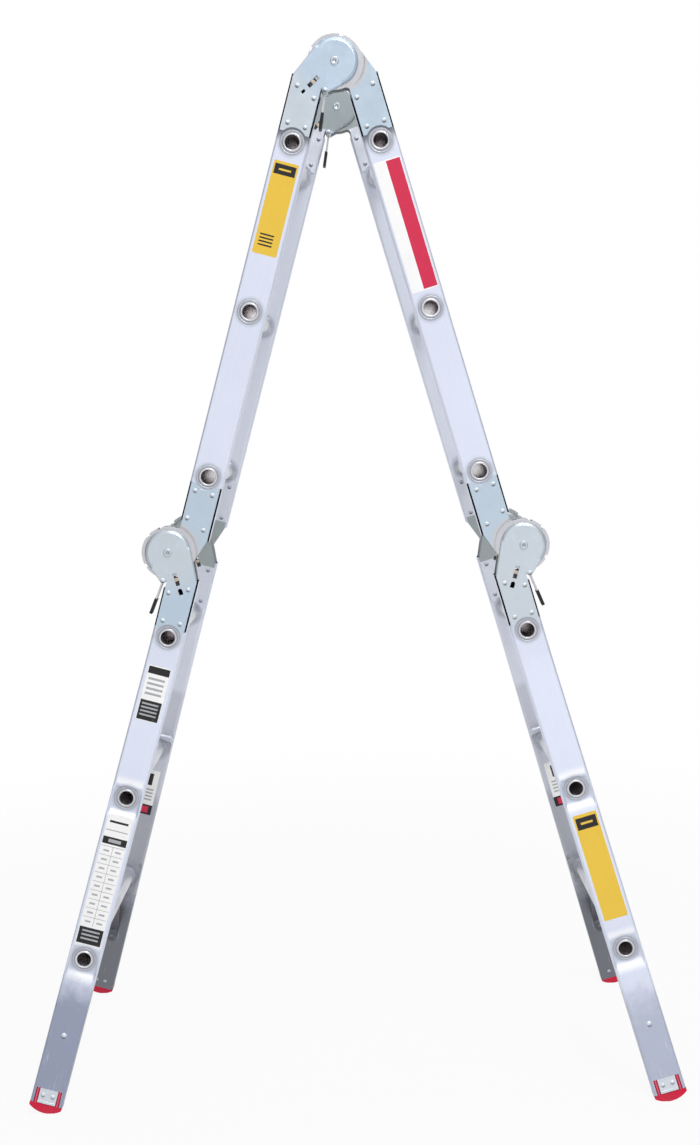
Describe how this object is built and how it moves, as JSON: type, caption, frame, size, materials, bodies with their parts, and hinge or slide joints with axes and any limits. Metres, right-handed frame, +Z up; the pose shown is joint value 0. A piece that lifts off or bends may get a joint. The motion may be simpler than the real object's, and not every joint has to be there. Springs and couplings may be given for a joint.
{
  "type": "combination ladder",
  "caption": "Folding combination ladder standing as an A-frame: hinged sections of flared box rails with round rungs, plate hinges with lock bolts and release levers, and rounded feet.",
  "frame": {"origin": "on the floor, below the top hinges and midway between the front and back rails", "axes": "+X across the A-frame towards the right leg, +Y along the rungs towards the back rails, +Z up"},
  "size_m": [1.1088, 0.5086, 1.7708],
  "materials": {
    "aluminium_rail": "drawn aluminium, satin, fine lines along the rail",
    "aluminium_rung": "drawn aluminium, satin",
    "zinc_cover": "zinc-plated pressed steel, bluish",
    "zinc_tongue": "zinc-plated pressed steel, bluish",
    "steel_pin": "zinc-plated riveted steel",
    "steel_bolt": "dark oiled steel",
    "zinc_lever": "zinc-plated steel",
    "black_grip": "black dipped plastic",
    "spring_steel": "blued spring steel",
    "red_foot": "red moulded rubber-like plastic",
    "zinc_plate": "zinc-plated steel",
    "zinc_brace": "zinc-plated steel strip"
  },
  "bodies": {
    "left_upper_section": {"left_upper_front_rail": "aluminium_rail", "left_upper_back_rail": "aluminium_rail", "left_upper_rungs": "aluminium_rung", "top_front_hinge_cover": "zinc_cover", "top_back_hinge_cover": "zinc_cover", "top_hinge_pins": "steel_pin", "top_lock_springs": "spring_steel", "left_front_hinge_tongue": "zinc_tongue", "left_back_hinge_tongue": "zinc_tongue"},
    "left_lower_section": {"left_lower_front_rail": "aluminium_rail", "left_lower_back_rail": "aluminium_rail", "left_lower_rungs": "aluminium_rung", "left_front_foot": "red_foot", "left_back_foot": "red_foot", "left_foot_plates": "zinc_plate", "left_knee_braces": "zinc_brace", "left_front_hinge_cover": "zinc_cover", "left_back_hinge_cover": "zinc_cover", "left_hinge_pins": "steel_pin", "left_lock_springs": "spring_steel"},
    "right_upper_section": {"right_upper_front_rail": "aluminium_rail", "right_upper_back_rail": "aluminium_rail", "right_upper_rungs": "aluminium_rung", "top_front_hinge_tongue": "zinc_tongue", "top_back_hinge_tongue": "zinc_tongue", "right_front_hinge_tongue": "zinc_tongue", "right_back_hinge_tongue": "zinc_tongue"},
    "right_lower_section": {"right_lower_front_rail": "aluminium_rail", "right_lower_back_rail": "aluminium_rail", "right_lower_rungs": "aluminium_rung", "right_front_foot": "red_foot", "right_back_foot": "red_foot", "right_foot_plates": "zinc_plate", "right_knee_braces": "zinc_brace", "right_front_hinge_cover": "zinc_cover", "right_back_hinge_cover": "zinc_cover", "right_hinge_pins": "steel_pin", "right_lock_springs": "spring_steel"},
    "top_front_lever": {"top_front_release_lever": "zinc_lever", "top_front_lever_grip": "black_grip"},
    "top_front_bolt": {"top_front_lock_bolt": "steel_bolt"},
    "top_back_lever": {"top_back_release_lever": "zinc_lever", "top_back_lever_grip": "black_grip"},
    "top_back_bolt": {"top_back_lock_bolt": "steel_bolt"},
    "left_front_lever": {"left_front_release_lever": "zinc_lever", "left_front_lever_grip": "black_grip"},
    "left_front_bolt": {"left_front_lock_bolt": "steel_bolt"},
    "left_back_lever": {"left_back_release_lever": "zinc_lever", "left_back_lever_grip": "black_grip"},
    "left_back_bolt": {"left_back_lock_bolt": "steel_bolt"},
    "right_front_lever": {"right_front_release_lever": "zinc_lever", "right_front_lever_grip": "black_grip"},
    "right_front_bolt": {"right_front_lock_bolt": "steel_bolt"},
    "right_back_lever": {"right_back_release_lever": "zinc_lever", "right_back_lever_grip": "black_grip"},
    "right_back_bolt": {"right_back_lock_bolt": "steel_bolt"}
  },
  "joints": [
    {"name": "top_fold", "type": "hinge", "parent": "left_upper_section", "child": "right_upper_section", "pos_m": [0, 0, 1.72683], "axis": [0, -1, 0], "range_deg": [-32, 148]},
    {"name": "left_fold", "type": "hinge", "parent": "left_upper_section", "child": "left_lower_section", "pos_m": [-0.29786, 0, 0.93839], "axis": [0, -1, 0], "range_deg": [-180, 0]},
    {"name": "right_fold", "type": "hinge", "parent": "right_upper_section", "child": "right_lower_section", "pos_m": [0.29786, 0, 0.93839], "axis": [0, 1, 0], "range_deg": [-180, 0]},
    {"name": "top_front_lever_press", "type": "hinge", "parent": "left_upper_section", "child": "top_front_lever", "pos_m": [-0.01598, -0.1545, 1.68199], "axis": [0, -1, 0], "range_deg": [-7.59, 0]},
    {"name": "top_front_bolt_slide", "type": "slide", "parent": "left_upper_section", "child": "top_front_bolt", "axis": [-0.7431, 0, -0.6691], "range_m": [-0.003, 0]},
    {"name": "top_back_lever_press", "type": "hinge", "parent": "left_upper_section", "child": "top_back_lever", "pos_m": [-0.01598, 0.1545, 1.68199], "axis": [0, -1, 0], "range_deg": [-7.59, 0]},
    {"name": "top_back_bolt_slide", "type": "slide", "parent": "left_upper_section", "child": "top_back_bolt", "axis": [-0.7431, 0, -0.6691], "range_m": [-0.003, 0]},
    {"name": "left_front_lever_press", "type": "hinge", "parent": "left_lower_section", "child": "left_front_lever", "pos_m": [-0.30807, -0.1545, 0.8919], "axis": [0, 1, 0], "range_deg": [-7.59, 0]},
    {"name": "left_front_bolt_slide", "type": "slide", "parent": "left_lower_section", "child": "left_front_bolt", "axis": [0.2756, 0, -0.9613], "range_m": [-0.003, 0]},
    {"name": "left_back_lever_press", "type": "hinge", "parent": "left_lower_section", "child": "left_back_lever", "pos_m": [-0.30807, 0.1545, 0.8919], "axis": [0, 1, 0], "range_deg": [-7.59, 0]},
    {"name": "left_back_bolt_slide", "type": "slide", "parent": "left_lower_section", "child": "left_back_bolt", "axis": [0.2756, 0, -0.9613], "range_m": [-0.003, 0]},
    {"name": "right_front_lever_press", "type": "hinge", "parent": "right_lower_section", "child": "right_front_lever", "pos_m": [0.30807, -0.1545, 0.8919], "axis": [0, -1, 0], "range_deg": [-7.59, 0]},
    {"name": "right_front_bolt_slide", "type": "slide", "parent": "right_lower_section", "child": "right_front_bolt", "axis": [-0.2756, 0, -0.9613], "range_m": [-0.003, 0]},
    {"name": "right_back_lever_press", "type": "hinge", "parent": "right_lower_section", "child": "right_back_lever", "pos_m": [0.30807, 0.1545, 0.8919], "axis": [0, -1, 0], "range_deg": [-7.59, 0]},
    {"name": "right_back_bolt_slide", "type": "slide", "parent": "right_lower_section", "child": "right_back_bolt", "axis": [-0.2756, 0, -0.9613], "range_m": [-0.003, 0]}
  ],
  "couplings": [
    {"joint": "top_front_bolt_slide", "follows": "top_front_lever_press", "m_per_rad": 0.022627},
    {"joint": "top_back_bolt_slide", "follows": "top_back_lever_press", "m_per_rad": 0.022627},
    {"joint": "left_front_bolt_slide", "follows": "left_front_lever_press", "m_per_rad": 0.022627},
    {"joint": "left_back_bolt_slide", "follows": "left_back_lever_press", "m_per_rad": 0.022627},
    {"joint": "right_front_bolt_slide", "follows": "right_front_lever_press", "m_per_rad": 0.022627},
    {"joint": "right_back_bolt_slide", "follows": "right_back_lever_press", "m_per_rad": 0.022627}
  ]
}
